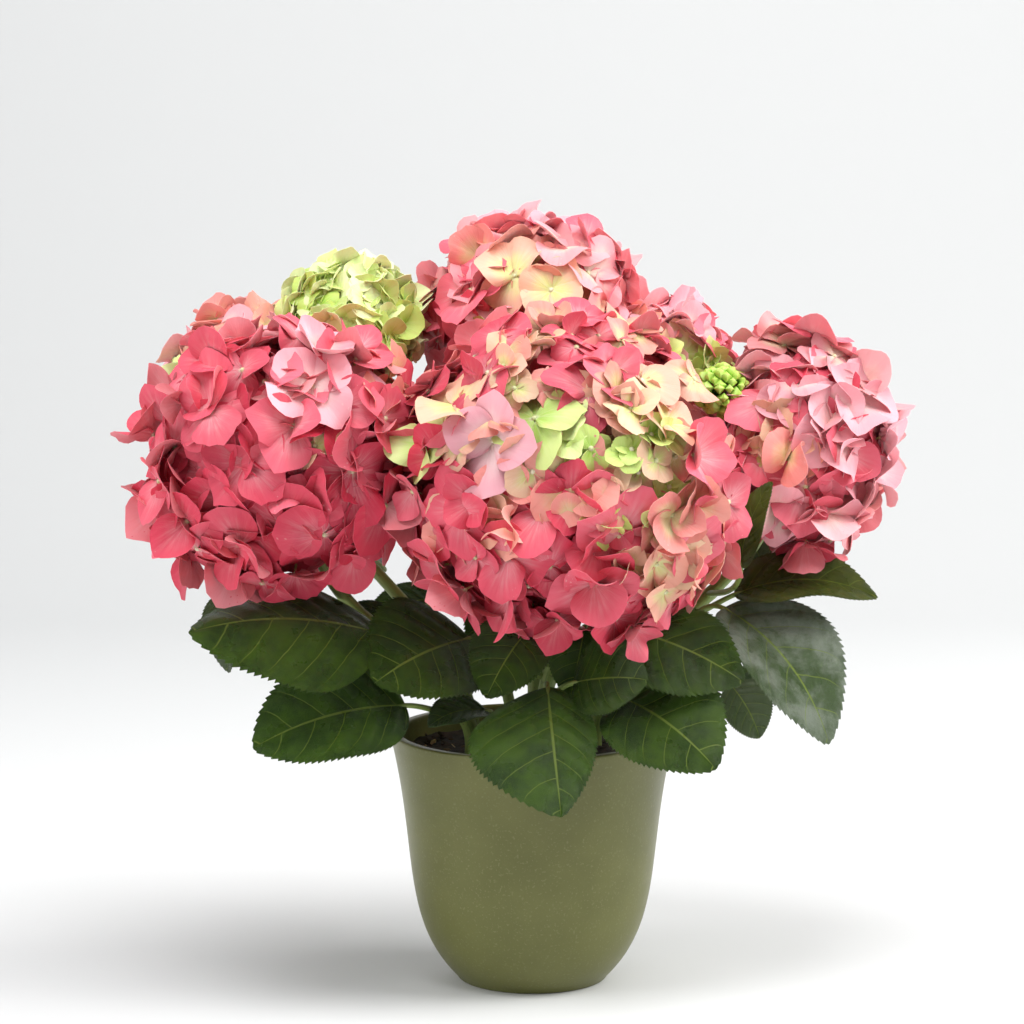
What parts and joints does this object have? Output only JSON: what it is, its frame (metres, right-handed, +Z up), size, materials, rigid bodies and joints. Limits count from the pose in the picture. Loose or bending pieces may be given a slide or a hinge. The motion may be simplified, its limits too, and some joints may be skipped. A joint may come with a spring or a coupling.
{
  "type": "potted hydrangea",
  "caption": "Living mophead hydrangea with pink flower heads and broad toothed leaves, growing in a tapered olive pot.",
  "frame": {"origin": "centre of the pot's flat underside, where it rests", "axes": "+Z up along the pot's axis, -Y towards the front of the plant, +X to its right seen from the front"},
  "size_m": [0.4316, 0.2934, 0.4457],
  "materials": {
    "pot": "satin olive green with a fine fleck",
    "soil": "damp crumbly peat with bark bits",
    "stem": "smooth green bark, faintly ribbed",
    "leaf": "satin, quilted between pale veins",
    "pink_sepals": "soft satin petals, pale at the base",
    "cream_sepals": "soft satin petals, cream flushed pink",
    "green_sepals": "soft satin petals, young green",
    "buds": "matt green beads"
  },
  "bodies": {
    "root": {"pot": "pot", "potting_soil": "soil", "stem_left": "stem", "flower_head_left": "pink_sepals", "stem_front": "stem", "flower_head_front": "pink_sepals", "stem_right": "stem", "flower_head_right": "pink_sepals", "stem_top": "stem", "flower_head_top": "pink_sepals", "stem_back_left": "stem", "flower_head_back_left": "cream_sepals", "stem_back_right": "stem", "flower_head_back_right": "cream_sepals", "stem_young": "stem", "flower_head_young": "green_sepals", "stem_bud": "stem", "bud_cluster": "buds", "leaf_upper_left": "leaf", "leaf_lower_left": "leaf", "leaf_far_left": "leaf", "leaf_mid_left": "leaf", "leaf_front": "leaf", "leaf_front_side": "leaf", "leaf_over_soil": "leaf", "leaf_lower_right": "leaf", "leaf_mid_right": "leaf", "leaf_right_drooping": "leaf", "leaf_upper_right": "leaf", "leaf_right_folded": "leaf", "leaf_centre_left": "leaf", "leaf_centre_small": "leaf", "leaf_centre_right": "leaf", "leaf_small_right": "leaf", "leaf_back_right_low": "leaf", "leaf_back_right_high": "leaf", "leaf_inner_left": "leaf", "leaf_inner_back": "leaf", "leaf_inner_centre": "leaf", "leaf_inner_right": "leaf", "leaf_back_left_low": "leaf", "leaf_back_left_mid": "leaf", "leaf_back_low": "leaf", "leaf_back_mid": "leaf", "leaf_back_right_mid": "leaf", "leaf_back_right_lower": "leaf", "leaf_back_high_left": "leaf", "leaf_back_high_right": "leaf"}
  },
  "joints": []
}
